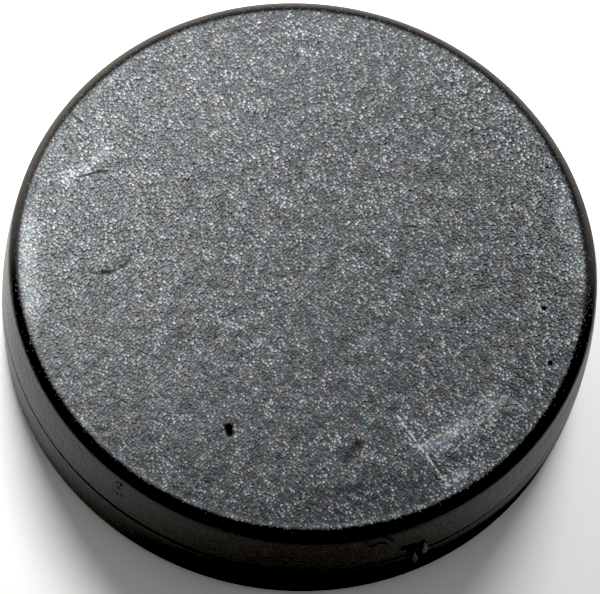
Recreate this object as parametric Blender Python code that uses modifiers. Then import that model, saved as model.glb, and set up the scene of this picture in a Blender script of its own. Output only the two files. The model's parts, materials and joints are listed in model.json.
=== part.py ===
"""Rubber-coated disc magnet.

A nickel-plated magnet disc lies inside a black rubber coat. The coat is moulded as two shallow caps, and their
rims meet in a seam that runs round the side wall at mid-height. Each cap has draft, so the wall is widest at
the seam and leans in towards both faces, and its outer edge is rounded.

Lengths are in metres. The origin is the centre of the lower face, where the object stands, and +Z is the axis
of the disc.
"""

import math

import bmesh
import bpy
from mathutils import Vector

# The whole object
DIAMETER = 0.022
THICKNESS = 0.0056

# The coat
DRAFT = math.radians(3.4)
EDGE_RADIUS = 0.0004
CLEARANCE = 0.0003

# The magnet disc inside it
MAGNET_DIAMETER = 0.020
MAGNET_THICKNESS = 0.004
MAGNET_EDGE = 0.0002

# The hollow that the moulding gate left in the side wall, just above the seam
GATE_AZIMUTH = math.radians(-57.5)
GATE_CENTER_HEIGHT = 0.0034
GATE_WIDTH = 0.0008
GATE_HEIGHT = 0.0006
GATE_DEPTH = 0.00022

# Derived sizes
RADIUS = DIAMETER / 2
SEAM_HEIGHT = THICKNESS / 2
RIM_HEIGHT = SEAM_HEIGHT + CLEARANCE / 2
CAVITY_RADIUS = MAGNET_DIAMETER / 2 + CLEARANCE
CAVITY_CEILING = SEAM_HEIGHT + MAGNET_THICKNESS / 2 + CLEARANCE
CAVITY_CORNER = MAGNET_EDGE + CLEARANCE

# Fineness of the round shapes
TURN_STEPS = 96
EDGE_STEPS = 5
CORNER_STEPS = 3
GATE_SEGMENTS = 16
GATE_RINGS = 8
MERGE_DISTANCE = 0.000001
SHARP_ANGLE = math.radians(32)


def clear_scene():
    for obj in list(bpy.data.objects):
        bpy.data.objects.remove(obj)


def new_collection(name):
    collection = bpy.data.collections.new(name)
    bpy.context.scene.collection.children.link(collection)
    return collection


def principled_material(name, color, roughness, metallic):
    material = bpy.data.materials.new(name)
    material.use_nodes = True
    shader = material.node_tree.nodes["Principled BSDF"]
    shader.inputs["Base Color"].default_value = (*color, 1)
    shader.inputs["Roughness"].default_value = roughness
    shader.inputs["Metallic"].default_value = metallic
    return material


def black_rubber():
    return principled_material("black_rubber", (0.028, 0.029, 0.031), 0.48, 0.0)


def nickel_plate():
    return principled_material("nickel_plate", (0.66, 0.62, 0.56), 0.24, 1.0)


def wall_radius(height):
    """Radius of the upper cap's drafted side wall at a height: it is widest at the cap's rim."""
    return RADIUS - (height - RIM_HEIGHT) * math.tan(DRAFT)


def arc(center_radius, center_height, radius, start, end, steps):
    """Points (radius, height) along an arc of the profile, its two ends included."""
    points = []
    for step in range(steps + 1):
        angle = start + (end - start) * step / steps
        point_radius = center_radius + radius * math.cos(angle)
        point_height = center_height + radius * math.sin(angle)
        points.append((point_radius, point_height))
    return points


def cap_profile():
    """Section of the upper cap: down its outer side, in along its rim and up the cavity to the axis."""
    edge_height = THICKNESS - EDGE_RADIUS
    edge_center = wall_radius(edge_height) - EDGE_RADIUS / math.cos(DRAFT)
    corner_radius = CAVITY_RADIUS - CAVITY_CORNER
    corner_height = CAVITY_CEILING - CAVITY_CORNER
    top = [(0, THICKNESS)]
    edge = arc(edge_center, edge_height, EDGE_RADIUS, math.pi / 2, DRAFT, EDGE_STEPS)
    rim = [(RADIUS, RIM_HEIGHT), (CAVITY_RADIUS, RIM_HEIGHT)]
    corner = arc(corner_radius, corner_height, CAVITY_CORNER, 0, math.pi / 2, CORNER_STEPS)
    ceiling = [(0, CAVITY_CEILING)]
    return top + edge + rim + corner + ceiling


def profile_mesh(name, points):
    """A chain of edges through the profile's points, in the plane y = 0."""
    chain = bmesh.new()
    vertices = [chain.verts.new((radius, 0, height)) for radius, height in points]
    for first, second in zip(vertices, vertices[1:]):
        chain.edges.new((first, second))
    mesh = bpy.data.meshes.new(name)
    chain.to_mesh(mesh)
    chain.free()
    return mesh


def turned_mesh(name, points):
    """The closed body that the profile makes when it is turned once round the Z axis."""
    guide = bpy.data.objects.new(name, profile_mesh(name, points))
    bpy.context.scene.collection.objects.link(guide)
    screw = guide.modifiers.new("Turn", "SCREW")
    screw.axis = "Z"
    screw.angle = 2 * math.pi
    screw.steps = TURN_STEPS
    screw.render_steps = TURN_STEPS
    screw.use_merge_vertices = True
    screw.merge_threshold = MERGE_DISTANCE
    graph = bpy.context.evaluated_depsgraph_get()
    mesh = bpy.data.meshes.new_from_object(guide.evaluated_get(graph))
    mesh.name = name
    bpy.data.objects.remove(guide)
    return mesh


def shade_round(mesh):
    mesh.shade_smooth()
    mesh.set_sharp_from_angle(angle=SHARP_ANGLE)


def make_coat(collection):
    """The two caps of the coat. They are one shape: the lower cap is the upper one turned over."""
    mesh = turned_mesh("coat_cap", cap_profile())
    shade_round(mesh)
    mesh.materials.append(black_rubber())
    upper = bpy.data.objects.new("upper_coat", mesh)
    lower = bpy.data.objects.new("lower_coat", mesh)
    lower.location.z = THICKNESS
    lower.rotation_euler.x = math.pi
    collection.objects.link(upper)
    collection.objects.link(lower)
    return upper


def make_gate_cutter(collection):
    """An egg-shaped cutter with its centre on the side wall, turned to face along the radius."""
    outward = Vector((math.cos(GATE_AZIMUTH), math.sin(GATE_AZIMUTH), 0))
    bpy.ops.mesh.primitive_uv_sphere_add(segments=GATE_SEGMENTS, ring_count=GATE_RINGS, radius=0.5)
    cutter = bpy.context.object
    cutter.name = "gate_cutter"
    cutter.scale = (2 * GATE_DEPTH, GATE_WIDTH, GATE_HEIGHT)
    bpy.ops.object.transform_apply(location=False, rotation=False, scale=True)
    cutter.location = outward * wall_radius(GATE_CENTER_HEIGHT) + Vector((0, 0, GATE_CENTER_HEIGHT))
    cutter.rotation_euler.z = GATE_AZIMUTH
    cutter.hide_render = True
    cutter.display_type = "WIRE"
    for user in list(cutter.users_collection):
        user.objects.unlink(cutter)
    collection.objects.link(cutter)
    return cutter


def cut_gate_mark(upper, cutter):
    cut = upper.modifiers.new("Gate mark", "BOOLEAN")
    cut.operation = "DIFFERENCE"
    cut.solver = "EXACT"
    cut.object = cutter


def make_magnet(collection):
    """The magnet disc, centred in the cavity, with the small rounded edge that plated discs have."""
    bpy.ops.mesh.primitive_cylinder_add(
        vertices=TURN_STEPS,
        radius=MAGNET_DIAMETER / 2,
        depth=MAGNET_THICKNESS,
        location=(0, 0, SEAM_HEIGHT),
    )
    magnet = bpy.context.object
    magnet.name = "magnet_disc"
    for user in list(magnet.users_collection):
        user.objects.unlink(magnet)
    collection.objects.link(magnet)
    shade_round(magnet.data)
    magnet.data.materials.append(nickel_plate())
    edge = magnet.modifiers.new("Rounded edge", "BEVEL")
    edge.width = MAGNET_EDGE
    edge.segments = 2
    edge.limit_method = "ANGLE"
    edge.angle_limit = SHARP_ANGLE
    return magnet


def main():
    clear_scene()
    parts = new_collection("rubber_coated_magnet")
    cutters = new_collection("cutters")
    upper = make_coat(parts)
    cut_gate_mark(upper, make_gate_cutter(cutters))
    make_magnet(parts)


main()
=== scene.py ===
# %% [markdown]
# # A rubber-coated disc magnet
#
# A nickel-plated magnet disc lies inside a black rubber coat. The coat is moulded as two shallow caps
# that meet in a seam half-way up the side. The measured parts come from the frame. This lesson gives them
# their finish: the grain of the faces, the satin side, the seam, and the marks that moulding and handling
# left.

# %% Load the frame
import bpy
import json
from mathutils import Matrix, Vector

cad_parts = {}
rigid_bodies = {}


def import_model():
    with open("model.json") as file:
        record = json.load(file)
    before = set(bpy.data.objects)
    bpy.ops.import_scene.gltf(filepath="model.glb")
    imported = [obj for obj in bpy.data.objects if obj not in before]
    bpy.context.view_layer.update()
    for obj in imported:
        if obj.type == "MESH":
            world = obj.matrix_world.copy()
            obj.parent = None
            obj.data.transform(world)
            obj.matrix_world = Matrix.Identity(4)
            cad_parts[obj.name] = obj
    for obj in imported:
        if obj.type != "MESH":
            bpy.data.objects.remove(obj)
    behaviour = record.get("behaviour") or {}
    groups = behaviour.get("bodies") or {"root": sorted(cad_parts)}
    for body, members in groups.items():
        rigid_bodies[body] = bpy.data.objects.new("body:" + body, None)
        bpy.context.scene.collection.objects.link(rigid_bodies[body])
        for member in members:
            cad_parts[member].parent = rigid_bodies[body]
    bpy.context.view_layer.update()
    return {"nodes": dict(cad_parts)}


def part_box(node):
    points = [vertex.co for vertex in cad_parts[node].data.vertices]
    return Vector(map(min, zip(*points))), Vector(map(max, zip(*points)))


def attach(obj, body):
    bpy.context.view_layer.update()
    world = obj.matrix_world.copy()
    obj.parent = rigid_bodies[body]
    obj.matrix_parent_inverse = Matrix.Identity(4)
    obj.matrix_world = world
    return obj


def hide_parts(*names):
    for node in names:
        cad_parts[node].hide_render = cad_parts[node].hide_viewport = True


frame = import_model()
print("nodes:", sorted(frame["nodes"]))

# %% Tools of the trade
import json
import math

import bmesh
import bpy
import numpy as np
from mathutils import Quaternion, Vector

MM = 0.001

# %% [markdown]
# ## Sizes
#
# Every size that the frame already knows is read from it, so the skin can't drift away from the measured
# part. The section of a cap is one chain of points: out along the face, round the edge, down the leaning
# side to the seam, and back up the hollow to the axis. Real moulded faces are never quite flat near their
# edge, because rubber shrinks as it cures, so the outer band of the face rolls off by a few hundredths of
# a millimetre. All round, the skin stands a thousandth of a millimetre inside the measured part, so that
# rounding can't push it outside.

# %% Sizes read from the frame
HAIR = 0.001 * MM
upper_low, upper_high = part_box("upper_coat")
lower_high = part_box("lower_coat")[1]
magnet_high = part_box("magnet_disc")[1]
RADIUS = upper_high[0] - HAIR
TOP = upper_high[2]
RIM = upper_low[2]
SEAM = (upper_low[2] + lower_high[2]) / 2
CLEARANCE = upper_low[2] - lower_high[2]
CAVITY_RADIUS = magnet_high[0] + CLEARANCE
CEILING = magnet_high[2] + CLEARANCE
print(f"radius {RADIUS / MM:.2f} mm, top {TOP / MM:.2f} mm, seam {SEAM / MM:.2f} mm")

# %% Sides and corners of the section
DRAFT = math.radians(3.4)
CROWN = 0.035 * MM
EDGE_RADIUS = 0.4 * MM
EDGE_LEAN = math.radians(7.0)
LIP_RADIUS = 0.06 * MM
SEAM_GAP = 0.03 * MM
CORNER = 0.4 * MM
INNER_FACE = 8.4 * MM
ROLL_OFF = 0.05 * MM
FACE_STEPS = 24
EDGE_STEPS = 8
WALL_STEPS = 18
LIP_STEPS = 3
CORNER_STEPS = 2
edge_height = TOP - ROLL_OFF - EDGE_RADIUS
wall_top = edge_height + EDGE_RADIUS * math.sin(EDGE_LEAN)


def wall_radius(height):
    """Radius of the upper cap's side wall. It leans in above the rim and is slightly crowned."""
    share = min(max((height - RIM) / (wall_top - RIM), 0), 1)
    return RADIUS - max(height - RIM, 0) * math.tan(DRAFT) + 4 * CROWN * share * (1 - share)


def line(start, end, steps):
    """Points along a straight line, without its first point."""
    points = []
    for step in range(1, steps + 1):
        points.append(tuple(a + (b - a) * step / steps for a, b in zip(start, end)))
    return points


def arc(center, radius, start, end, steps):
    """Points (radius, height) along an arc, without its first point."""
    points = []
    for step in range(1, steps + 1):
        angle = start + (end - start) * step / steps
        points.append((center[0] + radius * math.cos(angle), center[1] + radius * math.sin(angle)))
    return points


def soft_drop(start, end, steps):
    """Points that leave one height level and arrive at the other level."""
    points = []
    for step in range(1, steps + 1):
        share = step / steps
        drop = share * share * (3 - 2 * share)
        points.append((start[0] + (end[0] - start[0]) * share, start[1] + (end[1] - start[1]) * drop))
    return points


print(f"the side leans in to radius {wall_radius(wall_top) / MM:.2f} mm under the rounded edge")

# %% Chain of points round the section
FACE_RADIUS = wall_radius(wall_top) - EDGE_RADIUS * math.cos(EDGE_LEAN)
rim_height = SEAM + SEAM_GAP / 2
lip_center = (RADIUS - LIP_RADIUS, rim_height + LIP_RADIUS)
corner_center = (CAVITY_RADIUS - CORNER, CEILING - CORNER)

section = [(INNER_FACE, TOP)]
section += soft_drop(section[-1], (FACE_RADIUS, TOP - ROLL_OFF), FACE_STEPS)
section += arc((FACE_RADIUS, edge_height), EDGE_RADIUS, math.pi / 2, EDGE_LEAN, EDGE_STEPS)
for step in range(1, WALL_STEPS + 1):
    height = wall_top + (RIM - wall_top) * step / WALL_STEPS
    section.append((wall_radius(height), height))
section += line(section[-1], (RADIUS, lip_center[1]), 1)
section += arc(lip_center, LIP_RADIUS, 0, -math.pi / 2, LIP_STEPS)
section += line(section[-1], (CAVITY_RADIUS, rim_height), 1)
section += line(section[-1], (CAVITY_RADIUS, corner_center[1]), 1)
section += arc(corner_center, CORNER, 0, math.pi / 2, CORNER_STEPS)
section += [(0, CEILING)]
print(len(section), "points; the face ends at radius", round(FACE_RADIUS / MM, 2), "mm")

# %% [markdown]
# ## The blank cap
#
# A turned part can be spun from its section. One vertex is extruded from point to point, and the chain is
# spun round the upright axis. A spun disc would bunch its faces up at the middle, where the grain has to
# be as even as everywhere else, so the middle of the face is left open and then woven shut with Grid
# Fill.

# %% Helpers to pick and to model
MERGE = 0.001 * MM
GRID = 200
TURN_STEPS = 4 * GRID


def only(obj):
    """Makes this object the one that operators act on."""
    bpy.ops.object.select_all(action="DESELECT")
    obj.select_set(True)
    bpy.context.view_layer.objects.active = obj
    return obj


def edit(obj):
    only(obj)
    bpy.ops.object.mode_set(mode="EDIT")
    bpy.ops.mesh.select_mode(type="VERT")


def done():
    bpy.ops.object.mode_set(mode="OBJECT")


def places(obj):
    """The vertices' places, a row each."""
    flat = np.empty(len(obj.data.vertices) * 3)
    obj.data.vertices.foreach_get("co", flat)
    return flat.reshape(-1, 3)


def radius_of(xyz):
    return np.hypot(xyz[:, 0], xyz[:, 1])


def pick(obj, chosen):
    """Opens the object in edit mode with just the chosen vertices selected."""
    edit(obj)
    bpy.ops.mesh.select_all(action="DESELECT")
    done()
    obj.data.vertices.foreach_set("select", chosen)
    edit(obj)


def triangles(obj):
    return sum(len(face.vertices) - 2 for face in obj.data.polygons)


# %% Spin the section
bpy.ops.object.select_all(action="DESELECT")
bpy.ops.mesh.primitive_plane_add(size=MM, location=(section[0][0], 0, section[0][1]))
upper = bpy.context.object
upper.name = upper.data.name = "upper_coat_skin"
bpy.ops.object.transform_apply()
edit(upper)
bpy.ops.mesh.select_all(action="SELECT")
bpy.ops.mesh.merge(type="CENTER")
for here, there in zip(section, section[1:]):
    step = (there[0] - here[0], 0, there[1] - here[1])
    bpy.ops.mesh.extrude_region_move(TRANSFORM_OT_translate={"value": step})
bpy.ops.mesh.select_all(action="SELECT")
bpy.ops.mesh.spin(steps=TURN_STEPS, angle=2 * math.pi, center=(0, 0, 0), axis=(0, 0, 1))
bpy.ops.mesh.select_all(action="SELECT")
bpy.ops.mesh.remove_doubles(threshold=MERGE)
done()
print("spun:", triangles(upper), "triangles")

# %% Weave the middle of the face
xyz = places(upper)
hole = (radius_of(xyz) < INNER_FACE + MERGE) & (xyz[:, 2] > TOP - MERGE)
pick(upper, hole)
bpy.ops.mesh.fill_grid(span=GRID)
bpy.ops.mesh.select_all(action="SELECT")
bpy.ops.mesh.normals_make_consistent(inside=False)
done()
print("closed:", triangles(upper), "triangles")

# %% [markdown]
# ## Relief
#
# The mould was spark-eroded, which leaves a fine pebbled grain. Its pebbles are about a tenth of a
# millimetre across. That is too fine for the mesh, so the material's bump makes them. What is coarser is
# real relief: slow waves of a millimetre or two, from shrinkage, and clumps of grain a third of a
# millimetre apart. Displace modifiers press both into the face. They only ever press inwards, so the cap
# never outgrows the measured part.

# %% Helpers for relief
def group(obj, name, chosen):
    made = obj.vertex_groups.new(name=name)
    made.add([int(index) for index in np.flatnonzero(chosen)], 1.0, "REPLACE")
    return made.name


def press(obj, title, scale, depth, axis, where):
    """Presses a cloudy relief into a vertex group, at most this deep."""
    clouds = bpy.data.textures.new(title, "CLOUDS")
    clouds.noise_scale = scale
    relief = only(obj).modifiers.new(title, "DISPLACE")
    relief.texture = clouds
    relief.texture_coords = "LOCAL"
    relief.direction = axis
    relief.strength = depth
    relief.mid_level = 1.0
    relief.vertex_group = where
    bpy.ops.object.modifier_apply(modifier=relief.name)
    print(title, "pressed in by at most", round(depth / MM, 3), "mm")


# %% Press the relief in
FACE_MARGIN = 0.1 * MM
xyz = places(upper)
face_points = (radius_of(xyz) < FACE_RADIUS - FACE_MARGIN) & (xyz[:, 2] > TOP - ROLL_OFF - MERGE)
side_points = (radius_of(xyz) > CAVITY_RADIUS + CORNER) & (xyz[:, 2] > RIM + MERGE)
side_points &= xyz[:, 2] < edge_height
face_group = group(upper, "face", face_points)
side_group = group(upper, "side", side_points)
press(upper, "face_waves", scale=1.6 * MM, depth=0.016 * MM, axis="Z", where=face_group)
press(upper, "face_clumps", scale=0.32 * MM, depth=0.006 * MM, axis="Z", where=face_group)
press(upper, "side_waves", scale=1.2 * MM, depth=0.010 * MM, axis="NORMAL", where=side_group)
deepest = TOP - places(upper)[face_points][:, 2].min()
print("the face is pressed in by up to", round(deepest / MM, 3), "mm")

# %% [markdown]
# ## The lower cap
#
# Both caps come from the same mould, so the lower one is a copy of the blank, turned over about the seam.
# Its face lies on the table.

# %% Copy the blank and turn it over
only(upper)
bpy.ops.object.duplicate()
lower = bpy.context.object
lower.name = lower.data.name = "lower_coat_skin"
edit(lower)
bpy.ops.mesh.select_all(action="SELECT")
bpy.ops.transform.rotate(value=math.pi, orient_axis="X", center_override=(0, 0, SEAM))
done()
below = RIM - places(lower)[:, 2].max()
print("the lower cap ends", round(below / MM, 3), "mm under the measured rim of the upper one")

# %% [markdown]
# ## The gate mark
#
# The rubber entered the mould through a small gate just above the seam. Where it was broken off, it left
# a dark three-cornered hollow and, beside it, two torn nibs that stand out of the side. The side is too
# coarse for the hollow, so its faces there are subdivided first. Then the vertices along the hollow's
# middle lines are pushed in, and proportional editing gives it soft walls, as torn rubber has.

# %% Helpers to press along a path
GATE_AZIMUTH = math.radians(-57.5)
WALL_DEPTH = 0.4 * MM


def distance_to(points, path):
    """Distance of each point from a path of straight pieces. The path is in millimetres."""
    best = np.full(len(points), np.inf)
    path = np.array(path) * MM
    for start, end in zip(path, path[1:]):
        along = end - start
        share = np.clip((points - start) @ along / (along @ along), 0, 1)
        best = np.minimum(best, np.linalg.norm(points - start - share[:, None] * along, axis=1))
    return best


def on_wall(obj, path, reach):
    """The side's vertices within reach of a path. It runs along the wall from the gate, and upwards."""
    xyz = places(obj)
    along = (np.arctan2(xyz[:, 1], xyz[:, 0]) - GATE_AZIMUTH) * RADIUS
    outside = (radius_of(xyz) > RADIUS - WALL_DEPTH) & (xyz[:, 2] > RIM - MERGE)
    return outside & (distance_to(np.column_stack([along, xyz[:, 2]]), path) < reach * MM)


def push_in(path, reach, depth, spread):
    """Pushes the side in along a path. All sizes are in millimetres."""
    pick(upper, on_wall(upper, path, reach))
    inward = -Vector((math.cos(GATE_AZIMUTH), math.sin(GATE_AZIMUTH), 0))
    bpy.ops.transform.translate(
        value=inward * depth * MM, use_proportional_edit=True,
        proportional_edit_falloff="SMOOTH", proportional_size=spread * MM)
    done()
    print("the hollow is pushed in by", depth, "mm over a reach of", reach, "mm")


# %% Push the hollow in
GATE_PATCH = [(-0.8, 3.3), (0.6, 3.3)]
GATE_REACH = 0.8
GATE_CUTS = 3
HOLLOW = [(-0.36, 3.58), (-0.08, 3.5), (0.22, 3.32)]
HOLLOW_TIP = [(-0.08, 3.45), (-0.03, 2.95)]
pick(upper, on_wall(upper, GATE_PATCH, GATE_REACH))
bpy.ops.mesh.subdivide(number_cuts=GATE_CUTS)
done()
push_in(HOLLOW, reach=0.07, depth=0.26, spread=0.15)
push_in(HOLLOW_TIP, reach=0.05, depth=0.16, spread=0.12)
pick(upper, on_wall(upper, GATE_PATCH, GATE_REACH))
bpy.ops.mesh.select_more()
bpy.ops.mesh.quads_convert_to_tris(quad_method="BEAUTY", ngon_method="BEAUTY")
done()
print("with its hollow the upper cap has", triangles(upper), "triangles")

# %% [markdown]
# The two nibs start as spheres. One end is pinched, and a Boolean adds them to the cap. They are shaped
# in front of the +X axis, where the side faces along one axis, and are only then turned round to their
# place.

# %% Helpers for the nibs
NIB_SEGMENTS = 32
NIB_RINGS = 20
PINCH_SPREAD = 0.9


def lobe(name, azimuth, height, stand_out, size, pinch, lean):
    """A rounded lobe in the side wall. Its size is its depth, its width along the wall and its height. Its
    upper end is narrowed by the pinch, and then leans to one side."""
    bpy.ops.object.select_all(action="DESELECT")
    middle = (wall_radius(height) + stand_out, 0, height)
    bpy.ops.mesh.primitive_uv_sphere_add(
        segments=NIB_SEGMENTS, ring_count=NIB_RINGS, radius=0.5, scale=size, location=middle)
    made = bpy.context.object
    made.name = name
    bpy.ops.object.transform_apply()
    heights = places(made)[:, 2]
    pick(made, heights > heights.max() - MERGE)
    bpy.ops.mesh.select_more()
    bpy.ops.mesh.select_more()
    bpy.ops.transform.resize(
        value=(1, 1 - pinch, 1), center_override=middle, use_proportional_edit=True,
        proportional_edit_falloff="SMOOTH", proportional_size=size[2] * PINCH_SPREAD)
    bpy.ops.mesh.select_all(action="SELECT")
    bpy.ops.transform.rotate(value=-lean, orient_axis="X", center_override=middle)
    bpy.ops.transform.rotate(value=-azimuth, orient_axis="Z", center_override=(0, 0, 0))
    done()
    return made


def add(obj, other):
    """Adds another body to the object, and throws the other away."""
    union = only(obj).modifiers.new(other.name, "BOOLEAN")
    union.operation = "UNION"
    union.solver = "EXACT"
    union.object = other
    bpy.ops.object.modifier_apply(modifier=union.name)
    bpy.data.objects.remove(other)
    print("after joining, the cap has", triangles(obj), "triangles")


# %% Add the torn nibs
left_nib = lobe(
    "left_nib", azimuth=math.radians(-57.0), height=2.45 * MM, stand_out=0.03 * MM,
    size=(0.28 * MM, 0.45 * MM, 1.65 * MM), pinch=0.75, lean=0.12)
add(upper, left_nib)
right_nib = lobe(
    "right_nib", azimuth=math.radians(-55.2), height=3.03 * MM, stand_out=0.02 * MM,
    size=(0.24 * MM, 0.38 * MM, 1.2 * MM), pinch=0.5, lean=0.1)
add(upper, right_nib)

# %% [markdown]
# ## Dents, creases and scratches
#
# The coat has been handled: a deep pit, a pair of straight scratches, and creases where something pressed
# on the face near its left edge. Each is a path on the face. The vertices along it are selected and moved
# down, with proportional editing, so that their neighbours follow as rubber would.

# %% Paths of the marks
PIT = [(-1.55, -7.0), (-1.45, -7.2)]
SCRATCH = [(4.35, -5.2), (5.6, -6.45), (6.65, -7.55)]
SIDE_SCRATCH = [(4.45, -5.55), (5.55, -6.6)]
GROOVE = [(-8.75, 1.7), (-8.2, 2.0), (-7.85, 2.12)]
GROOVE_TAIL = [(-8.0, 2.24), (-7.6, 2.36), (-7.2, 2.75)]
SHORT_CREASE = [(-9.6, 4.25), (-9.15, 3.9)]
LONG_CREASE = [(-9.7, 3.65), (-9.1, 3.15), (-8.75, 2.75), (-8.3, 2.4)]
EDGE_CREASE = [(-10.15, -1.4), (-9.6, -1.25)]
CURVED_MARK = [(-7.6, -2.0), (-7.2, -2.0), (-6.65, -1.65), (-6.4, -1.45), (-6.3, -1.0)]


def dent(path, width, depth, spread):
    """Presses a path into the upper face. All sizes are in millimetres."""
    xyz = places(upper)
    chosen = (distance_to(xyz[:, :2], path) < width * MM / 2) & (xyz[:, 2] > edge_height + EDGE_RADIUS / 2)
    pick(upper, chosen)
    bpy.ops.transform.translate(
        value=(0, 0, -depth * MM), use_proportional_edit=True,
        proportional_edit_falloff="SMOOTH", proportional_size=spread * MM)
    done()
    print("moved", int(chosen.sum()), "vertices down by", depth, "mm")


# %% Press the marks into the face
dent(PIT, width=0.2, depth=0.07, spread=0.14)
dent(SCRATCH, width=0.08, depth=0.010, spread=0.06)
dent(SIDE_SCRATCH, width=0.08, depth=0.006, spread=0.06)
dent(GROOVE, width=0.08, depth=0.014, spread=0.09)
dent(GROOVE_TAIL, width=0.08, depth=0.006, spread=0.07)
dent(SHORT_CREASE, width=0.09, depth=0.022, spread=0.14)
dent(LONG_CREASE, width=0.09, depth=0.012, spread=0.12)
dent(EDGE_CREASE, width=0.09, depth=0.015, spread=0.12)
dent(CURVED_MARK, width=0.09, depth=0.008, spread=0.11)

# %% [markdown]
# ## Lint
#
# Rubber gathers lint, and a magnet is handled a lot. Two threads of red lint cling to the side and hang
# from its upper edge, and a shorter one is pressed into the face. A thread is a path curve with a round
# bevel, made into a mesh once its knots are in place. Its middle line lies just outside the rubber, so it
# is half sunk in.

# %% Helpers for threads
THREAD = 0.014 * MM
PROUD = 0.3 * THREAD
SUNK = 1.1 * THREAD


def beside(azimuth, height):
    """A thread's middle on the upper cap's side or rounded edge, from degrees and millimetres."""
    rise = min(max(height * MM - edge_height, 0), EDGE_RADIUS)
    wall = wall_radius(height * MM) if rise == 0 else FACE_RADIUS + math.sqrt(EDGE_RADIUS ** 2 - rise ** 2)
    angle = math.radians(azimuth)
    middle = wall + PROUD
    return (middle * math.cos(angle), middle * math.sin(angle), height * MM)


def thread(name, knots):
    """A thin round thread through at least five knots."""
    bpy.ops.object.select_all(action="DESELECT")
    bpy.ops.curve.primitive_nurbs_path_add()
    made = bpy.context.object
    made.name = name
    path = made.data.splines[0]
    path.points.add(len(knots) - len(path.points))
    for point, knot in zip(path.points, knots):
        point.co = (*knot, 1)
    path.use_endpoint_u = True
    made.data.bevel_depth = THREAD
    made.data.bevel_resolution = 2
    made.data.resolution_u = 6
    made.data.use_fill_caps = True
    bpy.ops.object.convert(target="MESH")
    edit(made)
    bpy.ops.mesh.select_all(action="SELECT")
    bpy.ops.mesh.remove_doubles(threshold=MERGE)
    bpy.ops.mesh.normals_make_consistent(inside=False)
    done()
    bpy.ops.object.shade_smooth()
    print(name, triangles(made), "triangles")
    return made


# %% Lay the threads
HOOK = [
    (-66.8, 5.42), (-67.4, 5.36), (-67.9, 5.3), (-68.1, 5.18), (-67.8, 4.94), (-67.3, 4.69),
    (-66.7, 4.43), (-65.9, 4.54), (-65.2, 4.65), (-64.2, 4.63), (-63.3, 4.39)]
LOOSE_END = [(-65.9, 5.32), (-65.2, 5.22), (-64.4, 5.13), (-63.7, 5.0), (-62.9, 4.74), (-62.0, 4.5)]
PRESSED_IN = [(3.37, -6.4), (3.36, -6.6), (3.31, -6.8), (3.3, -6.95), (3.24, -7.2)]
side_lint = thread("side_lint", [beside(*knot) for knot in HOOK])
loose_end = thread("loose_end", [beside(*knot) for knot in LOOSE_END])
only(side_lint)
loose_end.select_set(True)
bpy.ops.object.join()
side_lint.data.name = side_lint.name
dent(PRESSED_IN, width=0.06, depth=0.03, spread=0.10)
face_lint = thread("face_lint", [(x * MM, y * MM, TOP - SUNK) for x, y in PRESSED_IN])

# %% [markdown]
# ## Smooth shading
#
# A moulded coat has no facets, so both caps are shaded smooth, and only corners sharper than 40 degrees
# stay hard, such as the foot of a nib. A cap with an open edge isn't a solid body. So each cap is checked
# for edges that don't join exactly two faces, and its volume is printed.

# %% Shade and check both caps
SMOOTH_ANGLE = math.radians(40)

for cap in (upper, lower):
    only(cap)
    bpy.ops.object.shade_smooth_by_angle(angle=SMOOTH_ANGLE)
    check = bmesh.new()
    check.from_mesh(cap.data)
    open_edges = sum(not edge.is_manifold for edge in check.edges)
    volume = check.calc_volume() / MM ** 3
    check.free()
    print(cap.name, triangles(cap), "triangles,", open_edges, "open edges,", round(volume, 1), "mm3")

# %% [markdown]
# ## Shader maths
#
# A finish is a sum over the surface: so much grain here, so much dirt there. As a web of Math nodes such
# a sum is hard to read, so one small class lets Python write it down: adding two signals makes an Add
# node and links it. Every other node goes in through one method, which sets or links its sockets. Places
# are Object coordinates in millimetres, so a mark keeps its place on the rubber however the part is
# turned later.

# %% A number that changes over the surface
class Signal:
    """A number that changes over the surface. Python sums on it add Math nodes."""

    def __init__(self, tree, socket):
        self.tree = tree
        self.socket = socket

    def math(self, operation, *values):
        node = self.tree.nodes.new("ShaderNodeMath")
        node.operation = operation
        for place, value in zip(node.inputs, values):
            if isinstance(value, Signal):
                self.tree.links.new(value.socket, place)
            else:
                place.default_value = value
        return Signal(self.tree, node.outputs[0])

    def __add__(self, other):
        return self.math("ADD", self, other)

    def __radd__(self, other):
        return self.math("ADD", other, self)

    def __sub__(self, other):
        return self.math("SUBTRACT", self, other)

    def __rsub__(self, other):
        return self.math("SUBTRACT", other, self)

    def __mul__(self, other):
        return self.math("MULTIPLY", self, other)

    def __rmul__(self, other):
        return self.math("MULTIPLY", other, self)

    def __pow__(self, power):
        return self.math("POWER", self, power)

    def __abs__(self):
        return self.math("ABSOLUTE", self)

    def sqrt(self):
        return self.math("SQRT", self)

    def at_least(self, other):
        return self.math("MAXIMUM", self, other)

    def at_most(self, other):
        return self.math("MINIMUM", self, other)


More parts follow.
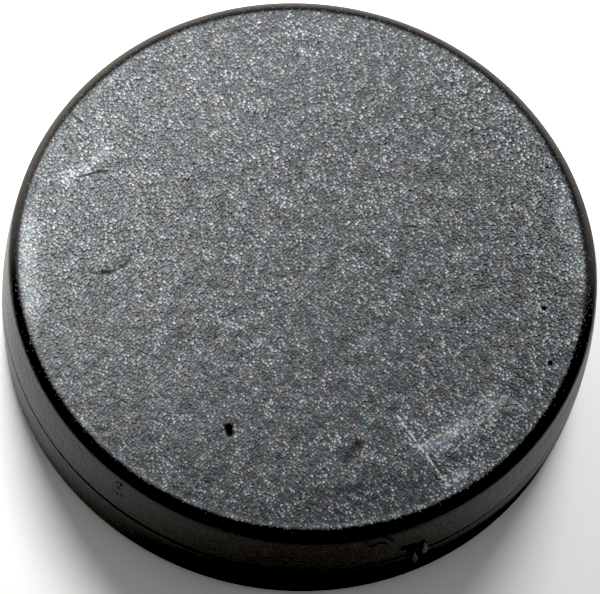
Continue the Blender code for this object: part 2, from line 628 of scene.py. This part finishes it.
# %% A material and its nodes
class Finish:
    """A material and the one way in which its nodes are added."""

    def __init__(self, name):
        self.material = bpy.data.materials.new(name)
        self.material.use_nodes = True
        self.tree = self.material.node_tree
        self.tree.nodes.clear()

    def node(self, kind, settings=None, sockets=None):
        """Adds a node, makes its settings, and then sets or links its sockets."""
        made = self.tree.nodes.new(kind)
        for key, value in (settings or {}).items():
            setattr(made, key, value)
        for key, value in (sockets or {}).items():
            place = made.inputs[key]
            if isinstance(value, Signal):
                self.tree.links.new(value.socket, place)
            elif isinstance(value, bpy.types.NodeSocket):
                self.tree.links.new(value, place)
            else:
                place.default_value = value
        return made

    def number(self, kind, settings=None, sockets=None, output=0):
        return Signal(self.tree, self.node(kind, settings, sockets).outputs[output])

    def in_millimetres(self):
        """Object coordinates in millimetres."""
        coords = self.node("ShaderNodeTexCoord").outputs["Object"]
        return self.node("ShaderNodeMapping", {}, {"Vector": coords, "Scale": (1 / MM,) * 3}).outputs[0]

    def xyz(self, place):
        node = self.node("ShaderNodeSeparateXYZ", {}, {0: place})
        return [Signal(self.tree, output) for output in node.outputs]

    def step(self, value, start, end):
        """0 where value is at start and 1 where it is at end, with a soft step between."""
        low, high = min(start, end), max(start, end)
        ends = (0.0, 1.0) if start < end else (1.0, 0.0)
        sockets = {"Value": value, "From Min": low, "From Max": high, "To Min": ends[0], "To Max": ends[1]}
        return self.number("ShaderNodeMapRange", {"interpolation_type": "SMOOTHSTEP"}, sockets)

    def clouds(self, place, scale, detail=2.0, roughness=0.5, output=0):
        sockets = {"Vector": place, "Scale": scale, "Detail": detail, "Roughness": roughness}
        return self.node("ShaderNodeTexNoise", {}, sockets).outputs[output]

    def cloud(self, place, scale, detail=2.0, roughness=0.5):
        """As clouds, a number about zero."""
        return Signal(self.tree, self.clouds(place, scale, detail, roughness)) - 0.5

    def blend(self, share, first, second, mode="MIX"):
        """Mixes two colours."""
        sockets = {0: share, 6: first, 7: second}
        return self.node("ShaderNodeMix", {"data_type": "RGBA", "blend_type": mode}, sockets).outputs[2]

    def path(self, x, y, points):
        """Distance from a path of straight pieces, in millimetres."""
        nearest = None
        for (x0, y0), (x1, y1) in zip(points, points[1:]):
            dx, dy = x1 - x0, y1 - y0
            square = dx * dx + dy * dy
            share = ((x - x0) * (dx / square) + (y - y0) * (dy / square)).at_least(0.0).at_most(1.0)
            away = ((x - x0 - share * dx) ** 2 + (y - y0 - share * dy) ** 2).sqrt()
            nearest = away if nearest is None else nearest.at_most(away)
        return nearest

# %% [markdown]
# ## Where a point lies
#
# One rubber finish covers both caps, as one rubber compound does. Each of its layers asks the same things
# of a point: how far it is from the axis, how far from the seam, and how far round the side. They are
# worked out once. A fine ragged noise is kept with them, because no border on a worn thing is a clean
# line.

# %% Where a point lies
RAGGED = (9.0, 2.0)
UPRIGHT = (1, 1, 0.5)


class Spot:
    """Where a point of a cap lies, in millimetres."""

    def __init__(self, f):
        self.place = f.in_millimetres()
        self.x, self.y, self.z = f.xyz(self.place)
        self.radius = (self.x * self.x + self.y * self.y).sqrt()
        self.around = self.x.math("ARCTAN2", self.y, self.x) * (RADIUS / MM)
        self.from_seam = abs(self.z - SEAM / MM)
        self.upright = f.node("ShaderNodeMapping", {}, {"Vector": self.place, "Scale": UPRIGHT}).outputs[0]
        self.ragged = f.cloud(self.place, *RAGGED)

# %% [markdown]
# ## Face, edge and side
#
# A moulded coat changes its texture where the mould does: eroded for the face, polished for the rounded
# edge, and stoned to a satin for the side. Three masks that add up to one say how far a point belongs to
# each. The borders wander a little. Towards the far side the face's border is drawn in, so the dark edge
# band is wider there: that is painted shade. At the right the side's border is nearer the seam.

# %% Face, edge and side
FACE_END = FACE_RADIUS / MM
SIDE_END = (edge_height - SEAM) / MM
FRAY = 0.16
FAR_SHADE_WIDTH = 0.09
SIDE_LOWERED = 0.2


def regions(f, spot):
    """How far a point belongs to the face, to the rounded edge and to the side."""
    # Painted shade: towards the far side the face ends sooner, which widens the dark edge band.
    far_shade_shift = f.step(spot.y + spot.x * 0.5, -5.0, 4.0) * FAR_SHADE_WIDTH
    face = f.step(spot.radius + spot.ragged * FRAY + far_shade_shift, FACE_END + 0.10, FACE_END - 0.09)
    face = face * f.step(spot.from_seam, 2.5, 2.65)
    lowered = f.step(spot.x, 2.0, 9.0) * SIDE_LOWERED
    side = f.step(spot.from_seam + spot.ragged * FRAY + lowered, SIDE_END + 0.27, SIDE_END - 0.3)
    edge = (1 - face - side).at_least(0.0)
    return face, edge, side


print(f"the face ends {FACE_END:.2f} mm from the axis, the side {SIDE_END:.2f} mm from the seam")

# %% [markdown]
# ## The grain of the face
#
# The eroded mould gives the face its pebbled grain. A Voronoi pattern makes a round-topped pebble in each
# cell, and finer noise breaks it up. It also gives each pebble a chance, a number of its own, which
# decides later whether its top gets a painted glint. The pebbles are a little longer one way than the
# other.

# %% The grain of the face
GRAIN = 10.0
GRAIN_DEPTH = 0.040
GRAIN_STRETCH = 1.15
GRAIN_AZIMUTH = math.radians(146)
GRAIN_WARP = 0.12
DOME_SHARE = 0.25
NOISE_SHARE = 0.8


def pebbles(f, place):
    """Grain heights in millimetres, pebble tops that take painted glints, and a chance for each pebble."""
    turned = {"Vector": place, "Rotation": (0, 0, GRAIN_AZIMUTH), "Scale": (GRAIN_STRETCH, 1, 1)}
    stretched = f.node("ShaderNodeMapping", {"vector_type": "TEXTURE"}, turned).outputs[0]
    warped = f.node("ShaderNodeVectorMath", {"operation": "MULTIPLY_ADD"}, {
        0: f.clouds(stretched, GRAIN, 1.0, 0.5, output=1), 1: (GRAIN_WARP,) * 3, 2: stretched}).outputs[0]
    cells = f.node("ShaderNodeTexVoronoi", {"voronoi_dimensions": "2D"}, {"Vector": warped, "Scale": GRAIN})
    away = Signal(f.tree, cells.outputs["Distance"])
    dome = 1 - (away * 1.4) ** 2
    noise = f.cloud(stretched, GRAIN * 0.5, 2.0, 0.6)
    heights = (dome * DOME_SHARE + noise * NOISE_SHARE) * GRAIN_DEPTH
    chance = f.number("ShaderNodeSeparateColor", {}, {"Color": cells.outputs["Color"]})
    return heights, f.step(away, 0.55, 0.15), chance


print("the pebbles lie about", 1 / GRAIN, "mm apart")

# %% [markdown]
# ## Marks in the finish
#
# What was bent is already in the mesh. What handling did to the surface itself is in the finish. Each
# mark is a path of straight pieces on the face, and the finish measures how far a point is from it. A
# mark is listed with its path, how much its outline frays, where it starts and where it is full, as
# distances from the path in millimetres, and how strong it is. Where marks overlap, the strongest shows.

# %% Marks on the face
def strongest(f, spot, marks, fray):
    """How strong the strongest of the marks is at a point of the face."""
    most = None
    for path, share, start, full, strength in marks:
        mark = f.step(f.path(spot.x, spot.y, path) + fray * share, start, full) * strength
        most = mark if most is None else most.at_least(mark)
    return most


def dot(f, spot, center, fray, start, full):
    """A round mark on the face."""
    away = ((spot.x - center[0]) ** 2 + (spot.y - center[1]) ** 2).sqrt()
    return f.step(away + fray, start, full)

# %% [markdown]
# A scuff has worn the tops of many pebbles pale, in strokes that run round the disc, as when it is turned
# on a table. The strokes are a noise on radius and angle, stretched along the angle. The shiny patches
# near the left edge, and a faint one near the right edge, are painted glare: paler all over.

# %% Worn patches
PATCHY = (2.5, 4.0, 0.7)
STROKES = (5.0, 3.0, 0.6)
STROKE_STRETCH = 0.15
SCUFFS = [
    ([(5.6, -6.2), (6.6, -5.6), (7.85, -3.9)], 1.0, 0.9, -0.2, 1.0),
    ([(6.6, -7.4), (7.1, -6.95), (7.6, -6.5)], 1.0, 0.6, -0.2, 1.0)]
SCUFF_CORE = [
    ([(5.75, -6.0), (6.65, -5.35)], 0.5, 0.5, -0.1, 1.0)]
# Painted glare: patches where the face is paler all over, as where light glares off it.
GLARE_PATCHES = [
    ([(8.8, 4.9), (9.6, 3.2), (10.05, 1.5)], 0.6, 0.6, 0.0, 0.2),
    ([(-10.3, -0.65), (-10.05, -2.25), (-9.5, -3.95)], 0.5, 0.75, 0.0, 0.7),
    ([(-9.3, 1.5), (-8.6, 2.1)], 0.6, 0.4, -0.1, 0.8),
    ([(-8.4, 2.4), (-7.95, 3.0)], 0.6, 0.5, -0.1, 0.6)]


def wear_and_glare(f, spot):
    """How far handling has worn the face, together with its painted glare."""
    patchy = f.cloud(spot.place, *PATCHY) * 1.5
    swept = f.node("ShaderNodeCombineXYZ", {}, {0: spot.radius, 1: spot.around * STROKE_STRETCH}).outputs[0]
    strokes = f.step(f.cloud(swept, *STROKES), -0.12, 0.12) * 0.7 + 0.3
    scuffed = strongest(f, spot, SCUFFS, patchy) * strokes
    core = strongest(f, spot, SCUFF_CORE, patchy) * (strokes * 0.5 + 0.5)
    return scuffed.at_least(core).at_least(strongest(f, spot, GLARE_PATCHES, patchy))


print(len(SCUFFS) + len(SCUFF_CORE) + len(GLARE_PATCHES), "worn patches")

# %% [markdown]
# A scratch cut the tops off the pebbles along its way, so it shows as a row of pale beads. The pit, the
# creases, the groove and two pinholes are darkened, and there are two smudges of dirt. One red speck of
# lint dye is left as well.

# %% Scratches and dirt
MARK_FRAY = (5.0, 3.0)
BEADS = (9.0, 1.0)
SCRATCHES = [
    (SCRATCH, 0.03, 0.055, 0.02, 1.0),
    (SIDE_SCRATCH, 0.03, 0.04, 0.01, 0.6),
    ([(8.5, -3.75), (8.95, -4.05)], 0.03, 0.04, 0.01, 0.8)]
STAINS = [
    (PIT, 0.2, 0.23, 0.07, 1.0),
    ([(2.9, -7.2), (3.15, -6.6)], 0.3, 0.28, 0.05, 0.6),
    ([(-7.2, -1.9), (-6.95, -1.85)], 0.2, 0.15, 0.0, 0.9),
    (GROOVE, 0.06, 0.06, 0.02, 0.7),
    (GROOVE_TAIL, 0.06, 0.05, 0.01, 0.4),
    (SHORT_CREASE, 0.0, 0.09, 0.03, 0.6),
    (CURVED_MARK, 0.14, 0.08, 0.0, 0.6)]
PINHOLES = [(8.96, 0.12), (9.53, -1.98)]
RED_SPECK = (2.86, -5.82)


def scratches_and_dirt(f, spot):
    """How far a point of the face is scratched, dirty and stained red."""
    fray = f.cloud(spot.place, *MARK_FRAY) * 0.9
    beads = f.step(f.cloud(spot.place, *BEADS), -0.12, 0.02)
    scratched = strongest(f, spot, SCRATCHES, fray) * beads
    dirty = strongest(f, spot, STAINS, fray)
    for center in PINHOLES:
        dirty = dirty.at_least(dot(f, spot, center, fray * 0.05, 0.12, 0.07))
    red = dot(f, spot, RED_SPECK, 0.0, 0.07, 0.03) * 0.8
    return scratched, dirty, red


print(len(SCRATCHES), "scratches,", len(STAINS), "stains and", len(PINHOLES), "pinholes")

# %% [markdown]
# The side has marks of its own. Low on its front it is darkened by painted shade. Dirt has gathered in
# the seam at the left, and there is one smudge above the seam.

# %% Dirt on the side
SIDE_SMUDGE = [(-22.55, 4.85), (-22.45, 4.1)]


def side_dirt_and_shade(f, spot, side):
    """How dirty a point of the side is, and how far painted shade darkens it low on its front."""
    # Painted shade: the side darkens low on its front, towards the bottom.
    low = f.step(spot.z, 2.9, 1.4) * f.step(spot.x, -6.0, 0.0) * f.step(spot.y, 5.0, 0.0) * side
    seam = f.step(spot.from_seam + spot.ragged * 0.1, 0.14, 0.02) * f.step(spot.x, 1.0, -6.0) * 0.7
    smudge = f.step(f.path(spot.around, spot.z, SIDE_SMUDGE), 0.3, 0.05) * f.step(spot.ragged, 0.0, 0.1)
    return low.at_least(seam).at_least(smudge)

# %% [markdown]
# ## The feel of the surface
#
# A Bump node turns heights into light and shade. The face has its grain on slow waves. The grain is
# deeper towards the far side, flattened in a band along its rim, and partly filled where it is dirty. The
# polished edge keeps a third of it, and the side has a fine satin that is rougher at the left and the
# right.

# %% Bump of the rubber
SLOW_WAVES = (1.2, 3.0, 0.6)
SLOW_DEPTH = 0.045
SATIN = (9.0, 2.0)
SATIN_DEPTH = 0.035
SIDE_WAVES = (4.0, 2.0)
SIDE_WAVE_DEPTH = 0.012
EDGE_GRAIN = 0.35


def relief(f, spot, masks, heights, dirty):
    """The bumped normal of the rubber."""
    face, edge, side = masks
    depth = (f.step(spot.radius, 10.25, 9.95) * 0.3 + 0.7) * (f.step(spot.y, -9.0, 8.0) * 0.7 + 0.5)
    grain = heights * depth * (1 - dirty * 0.4)
    slow = f.cloud(spot.place, *SLOW_WAVES) * SLOW_DEPTH
    satin = f.cloud(spot.upright, *SATIN) * SATIN_DEPTH + f.cloud(spot.place, *SIDE_WAVES) * SIDE_WAVE_DEPTH
    satin = satin * (f.step(abs(spot.x), 4.0, 10.0) * 0.8 + 1)
    height = (grain + slow) * (face + edge * EDGE_GRAIN) + satin * side
    return f.node("ShaderNodeBump", {}, {"Strength": 1.0, "Distance": MM, "Height": height}).outputs[0]

# %% [markdown]
# ## The colour of the face
#
# Black rubber isn't black all over. The compound is mottled, and paler where it is worn. Some pebble
# tops get pale flecks, which are painted glints: more of them in some patches than in others, and many
# in a scuff. The face is paler still in painted glare and in painted sheen towards its near and far
# sides. Faint cool, warm, pink and green tints go over it all.

# %% Colour of the face
DARK_GRAY = (0.001, 0.0011, 0.0011, 1)
GRAY = (0.016, 0.0165, 0.0168, 1)
# Paler rubber of wear, also used for painted glare and painted sheen.
PALE_WEAR_AND_SHEEN = (0.12, 0.123, 0.126, 1)
# Colour of the painted glints on pebble tops.
GLINT_FLECK = (0.27, 0.277, 0.277, 1)
COOL = (0.22, 0.62, 0.74, 1)
WARM = (0.74, 0.50, 0.34, 1)
PINK = (0.60, 0.36, 0.66, 1)
GREEN = (0.42, 0.66, 0.42, 1)
PATCHES = (1.6, 5.0, 0.65)
BROAD_PATCHES = (0.35, 4.0, 0.6)
GLINT_RARITY = 2.2
COOL_OR_WARM = 6.0
PINK_OR_GREEN = 8.0
COOL_TINT = 0.30
PINK_TINT = 0.36


def face_color(f, spot, tops, chance, rubbed_and_glare, dirty):
    """The colour of the grained face."""
    patches = f.step(f.cloud(spot.place, *PATCHES), -0.22, 0.22)
    broad = f.cloud(spot.place, *BROAD_PATCHES) * 1.6 + 1
    # Painted sheen: the face turns paler towards its near and far sides.
    near_side_sheen = f.step(spot.y - spot.x * 0.3, 2.0, -9.0) * 0.13
    far_side_sheen = f.step(spot.y - spot.x * 0.6, 4.0, 10.0) * 0.1
    mottled = f.blend(patches, DARK_GRAY, GRAY)
    mottled = f.blend((rubbed_and_glare * 0.8).at_least(near_side_sheen).at_least(far_side_sheen), mottled, PALE_WEAR_AND_SHEEN)
    # Painted glints: pale flecks on pebble tops, more of them in scuffs and in painted glare.
    worn_and_glinting = chance ** GLINT_RARITY * (patches * 1.15 + 0.22) * broad + (chance + 0.2) * rubbed_and_glare * 1.25
    mottled = f.blend(tops * worn_and_glinting * (1 - dirty), mottled, GLINT_FLECK)
    cool_or_warm = f.blend(f.step(f.cloud(spot.place, COOL_OR_WARM), -0.2, 0.2), COOL, WARM)
    pink_or_green = f.blend(f.step(f.cloud(spot.place, PINK_OR_GREEN), -0.2, 0.2), PINK, GREEN)
    mottled = f.blend(COOL_TINT, mottled, cool_or_warm, "OVERLAY")
    return f.blend(PINK_TINT, mottled, pink_or_green, "OVERLAY")

# %% [markdown]
# ## The colour of the whole coat
#
# The layers go on one over the other. First come the colours of face, edge and side: the edge is black,
# with a painted brown sheen on its far side, and the side is a shade paler, with painted sheen at the far
# left. Then come painted glints as pale specks, the torn rubber of the nibs, the scratches and, last, the
# dirt together with painted shade low on the side, and the red speck.

# %% Colour of the coat
BLACK = (0.006, 0.006, 0.006, 1)
# Colour of the painted sheen on the far side of the rounded edge.
FAR_EDGE_SHEEN = (0.075, 0.064, 0.055, 1)
SIDE_BLACK = (0.024, 0.022, 0.019, 1)
# Colour of the painted sheen at the far left of the side.
SIDE_SHEEN = (0.12, 0.116, 0.11, 1)
# Colour of the painted glints on the edge and the side.
GLINT_SPECK = (0.06, 0.06, 0.06, 1)
TORN = (0.06, 0.058, 0.054, 1)
PALE = (0.26, 0.26, 0.26, 1)
# Colour of dirt and of the side's painted shade.
SHADE_AND_DIRT = (0.004, 0.004, 0.004, 1)
RED = (0.12, 0.012, 0.012, 1)
GLINT_SCATTER = (11.0, 1.0)


def coat_color(f, spot, masks, on_face, far_side_sheen, scratched, dirt_and_shade, red):
    """The colour of a cap, all layers together."""
    face, edge, side = masks
    # Painted sheen: a brown band on the far side of the rounded edge.
    far_edge_sheen = far_side_sheen * f.step(spot.radius, FACE_END - 0.02, FACE_END + 0.34) * (spot.ragged * 0.6 + 0.95)
    # Painted sheen: the side is paler at the far left.
    on_side = f.blend(f.step(spot.x, -9.6, -10.9), SIDE_BLACK, SIDE_SHEEN)
    color = f.blend(face, f.blend(side, f.blend(far_edge_sheen, BLACK, FAR_EDGE_SHEEN), on_side), on_face)
    # Painted glints: pale specks scattered over the edge and the side.
    glint_scatter = f.cloud(spot.place, *GLINT_SCATTER)
    glint_specks = (f.step(glint_scatter, 0.14, 0.2) * edge).at_least(f.step(glint_scatter, 0.2, 0.26) * side)
    color = f.blend(glint_specks, color, GLINT_SPECK)
    wall = spot.radius + spot.from_seam * math.tan(DRAFT)
    torn = f.step(wall, RADIUS / MM + 0.06, RADIUS / MM + 0.1) * side
    color = f.blend(torn, color, TORN)
    color = f.blend(scratched, color, PALE)
    # Dirt, and painted shade low on the side.
    color = f.blend(dirt_and_shade, color, SHADE_AND_DIRT)
    return f.blend(red, color, RED)

# %% [markdown]
# ## The finish of the caps
#
# Two shaders share the work. One is textured rubber, with the reflection that rubber has. The other is
# polished, dirty or dull rubber, and it also carries the side's painted shade. It mirrors less, so it has a
# lower index of refraction. A Mix Shader node goes from one to the other. The marks of the face belong to
# the upper cap only, and the lower face is left plain.

# %% The finish of both caps
RUBBER_IOR = 1.44
POLISHED_IOR = 1.25
DULL_SPOTS = (8.0, 3.0, 0.6)
DULL_SHARE = 0.3


def rubber_finish():
    f = Finish("moulded_black_rubber")
    spot = Spot(f)
    masks = regions(f, spot)
    face, edge, side = masks
    upper_face = face * f.step(spot.z, SEAM / MM, SEAM / MM + 0.5)
    rubbed_and_glare = wear_and_glare(f, spot) * upper_face
    scratched, dirty, red = (mark * upper_face for mark in scratches_and_dirt(f, spot))
    # Dirt, and painted shade low on the side.
    dirt_and_shade = dirty.at_least(side_dirt_and_shade(f, spot, side))
    # The far side, which takes the edge's painted sheen and a rougher polish.
    far_side_sheen = f.step(spot.y - spot.x * 0.15, -4.0, 5.0)

    heights, tops, chance = pebbles(f, spot.place)
    normal = relief(f, spot, masks, heights, dirty)
    on_face = face_color(f, spot, tops, chance, rubbed_and_glare, dirty)
    color = coat_color(f, spot, masks, on_face, far_side_sheen, scratched, dirt_and_shade, red)
    textured = f.node("ShaderNodeBsdfPrincipled", {}, {
        "Base Color": color, "Roughness": side * 0.03 + dirty * 0.2 + 0.42, "IOR": RUBBER_IOR,
        "Normal": normal})
    polished = f.node("ShaderNodeBsdfPrincipled", {}, {
        "Base Color": color, "Roughness": dirt_and_shade.at_least(far_side_sheen * edge) * 0.5 + 0.3, "IOR": POLISHED_IOR,
        "Normal": normal})
    dull = f.step(f.cloud(spot.upright, *DULL_SPOTS), -0.15, 0.15) * side * DULL_SHARE
    both = f.node("ShaderNodeMixShader", {}, {
        0: edge.at_least(dirt_and_shade * 0.9).at_least(dull), 1: textured.outputs[0], 2: polished.outputs[0]})
    f.node("ShaderNodeOutputMaterial", {}, {"Surface": both.outputs[0]})
    print("rubber finish:", len(f.tree.nodes), "nodes")
    return f.material


rubber = rubber_finish()
for cap, node in ((upper, "upper_coat"), (lower, "lower_coat")):
    cap.data.materials.clear()
    cap.data.materials.append(rubber)
    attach(cap, "root")
    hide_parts(node)

# %% [markdown]
# ## Red lint
#
# Lint is dyed fibre, dull and uneven in colour, so a soft noise takes each thread from dark to brighter
# red. The piece pressed into the face is a darker copy of the side's red: painted shade, because the face
# is lit more strongly than the side.

# %% Red lint
DYE = (5.0, 2.0)
# Painted shade: the face's lint is a darker copy of the side's.
FACE_LINT_SHADED = ((0.03, 0.004, 0.004, 1), (0.16, 0.012, 0.012, 1))
SIDE_LINT = ((0.05, 0.006, 0.006, 1), (0.19, 0.022, 0.022, 1))


def lint_finish():
    f = Finish("red_lint")
    place = f.in_millimetres()
    dyed = f.step(f.cloud(place, *DYE), -0.2, 0.2)
    on_side = f.step(f.xyz(place)[2], 5.5, 5.3)
    color = f.blend(on_side, f.blend(dyed, *FACE_LINT_SHADED), f.blend(dyed, *SIDE_LINT))
    shader = f.node("ShaderNodeBsdfPrincipled", {}, {"Base Color": color, "Roughness": 0.8})
    f.node("ShaderNodeOutputMaterial", {}, {"Surface": shader.outputs[0]})
    return f.material


lint = lint_finish()
for piece in (side_lint, face_lint):
    piece.data.materials.clear()
    piece.data.materials.append(lint)
    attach(piece, "root")
print("lint:", side_lint.name, "and", face_lint.name)

# %% [markdown]
# ## Nickel plate
#
# The magnet inside is the measured disc itself. It is hidden, so it needs no skin, only its finish.
# Magnets are plated with nickel so that they don't rust: a slightly warm metal, whose shine varies a
# little where the bath was uneven. Only the material in the disc's slot is changed, and its mesh stays as
# it was measured.

# %% Nickel plate
NICKEL = ((0.62, 0.58, 0.52, 1), (0.70, 0.66, 0.60, 1))
TARNISH = (0.8, 3.0)
BATH = (0.4, 3.0)


def nickel_finish():
    f = Finish("nickel_plate")
    place = f.in_millimetres()
    color = f.blend(f.cloud(place, *TARNISH) + 0.5, *NICKEL)
    roughness = f.cloud(place, *BATH) * 0.12 + 0.2
    shader = f.node("ShaderNodeBsdfPrincipled", {}, {
        "Base Color": color, "Metallic": 1.0, "Roughness": roughness})
    f.node("ShaderNodeOutputMaterial", {}, {"Surface": shader.outputs[0]})
    return f.material


magnet = frame["nodes"]["magnet_disc"]
magnet.material_slots[0].material = nickel_finish()
print("magnet disc:", len(magnet.material_slots), "slot,", magnet.material_slots[0].material.name)

# %% [markdown]
# ## Floor
#
# A pale matt floor takes a soft shadow and lights the side wall from below, and the wall mirrors it
# faintly. A very faint cloud in its colour keeps it from being flat. It belongs to the stage, not to the
# part.

# %% Floor
FLOOR_SIZE = 3
FLOOR_PALE = ((0.89, 0.87, 0.84, 1), (0.92, 0.90, 0.87, 1))
FLOOR_CLOUD = (0.02, 2.0)


def floor_finish():
    f = Finish("pale_floor")
    color = f.blend(f.cloud(f.in_millimetres(), *FLOOR_CLOUD) + 0.5, *FLOOR_PALE)
    shader = f.node("ShaderNodeBsdfPrincipled", {}, {"Base Color": color, "Roughness": 0.8})
    f.node("ShaderNodeOutputMaterial", {}, {"Surface": shader.outputs[0]})
    return f.material


bpy.ops.object.select_all(action="DESELECT")
bpy.ops.mesh.primitive_plane_add(size=FLOOR_SIZE, location=(0, 0, 0))
floor = bpy.context.object
floor.name = "floor"
floor.data.materials.append(floor_finish())
print("floor at height", floor.location.z)

# %% [markdown]
# ## Light
#
# Two soft round lamps stand behind the disc, one to its left and one to its right, as two windows would.
# Light from behind skims the grain, and that makes black rubber look grey and grainy. The world's light
# fills in the rest, but the rubber doesn't mirror it, so the rounded edge stays black. A lamp's power is
# worked out from how bright its face is, because that is what a shiny spot on the rubber shows.

# %% Light
STUDIO_COLOR = (0.96, 0.98, 1.0, 1)
STUDIO_STRENGTH = 0.38
LAMP_COLOR = (0.965, 0.985, 1.0)
world = bpy.data.worlds.new("studio")
bpy.context.scene.world = world
world.use_nodes = True
studio = world.node_tree.nodes["Background"]
studio.inputs["Color"].default_value = STUDIO_COLOR
studio.inputs["Strength"].default_value = STUDIO_STRENGTH
world.cycles_visibility.glossy = False


def soft_lamp(name, azimuth, elevation, distance, size, radiance):
    """A round area light that looks at the disc. Its power follows from how bright its face is."""
    level = math.cos(elevation)
    toward = Vector((level * math.cos(azimuth), level * math.sin(azimuth), math.sin(elevation)))
    lamp = bpy.data.lights.new(name, "AREA")
    lamp.shape = "DISK"
    lamp.color = LAMP_COLOR
    lamp.size = size
    face_area = math.pi * size * size / 4
    lamp.energy = radiance * face_area * math.pi
    light = bpy.data.objects.new(name, lamp)
    bpy.context.scene.collection.objects.link(light)
    light.location = toward * distance
    light.rotation_euler = (-toward).to_track_quat("-Z", "Y").to_euler()
    light.visible_camera = False
    print(f"{name} lamp: {size / MM:.0f} mm across, {lamp.energy:.4f} W")


soft_lamp(
    "key", azimuth=math.radians(136), elevation=math.radians(55),
    distance=40 * MM, size=16 * MM, radiance=36)
soft_lamp(
    "fill", azimuth=math.radians(65), elevation=math.radians(40),
    distance=50 * MM, size=20 * MM, radiance=24)

# %% [markdown]
# ## Camera
#
# The camera looks down steeply, from ten diameters away and through a long lens, so the disc shows hardly
# any perspective. It is rolled a little and aims just beside the middle of the disc. Depth of field is
# off, so all of the part stays sharp.

# %% Camera
ELEVATION = math.radians(65.8)
ROLL = math.radians(11.2)
DISTANCE = 20 * RADIUS
SENSOR = 36
LENS = 355.2
CLIP_START = 0.01
AIM_ASIDE = (0.0557 * MM, -0.1003 * MM)
back = Vector((0, -math.cos(ELEVATION), math.sin(ELEVATION)))
turn = (-back).to_track_quat("-Z", "Y") @ Quaternion((0, 0, 1), ROLL)
aim = Vector((0, 0, SEAM)) + turn @ Vector((*AIM_ASIDE, 0))
camera_data = bpy.data.cameras.new("camera")
camera_data.sensor_width = SENSOR
camera_data.lens = LENS
camera_data.clip_start = CLIP_START
camera = bpy.data.objects.new("camera", camera_data)
bpy.context.scene.collection.objects.link(camera)
camera.location = aim + back * DISTANCE
camera.rotation_mode = "QUATERNION"
camera.rotation_quaternion = turn
bpy.context.scene.camera = camera
print(f"camera {DISTANCE / MM:.0f} mm away, lens {camera_data.lens:.0f} mm")

# %% [markdown]
# ## Print of the picture
#
# The standard view shows the colours as they were made. Raising the black level sends the darkest greys
# to black, as a firm print does, and gives black rubber its depth.

# %% Print of the picture
BLACK_LEVEL = 0.03
view = bpy.context.scene.view_settings
view.view_transform = "Standard"
view.use_curve_mapping = True
view.curve_mapping.black_level = (BLACK_LEVEL, BLACK_LEVEL, BLACK_LEVEL)
view.curve_mapping.update()
print("view transform:", view.view_transform)
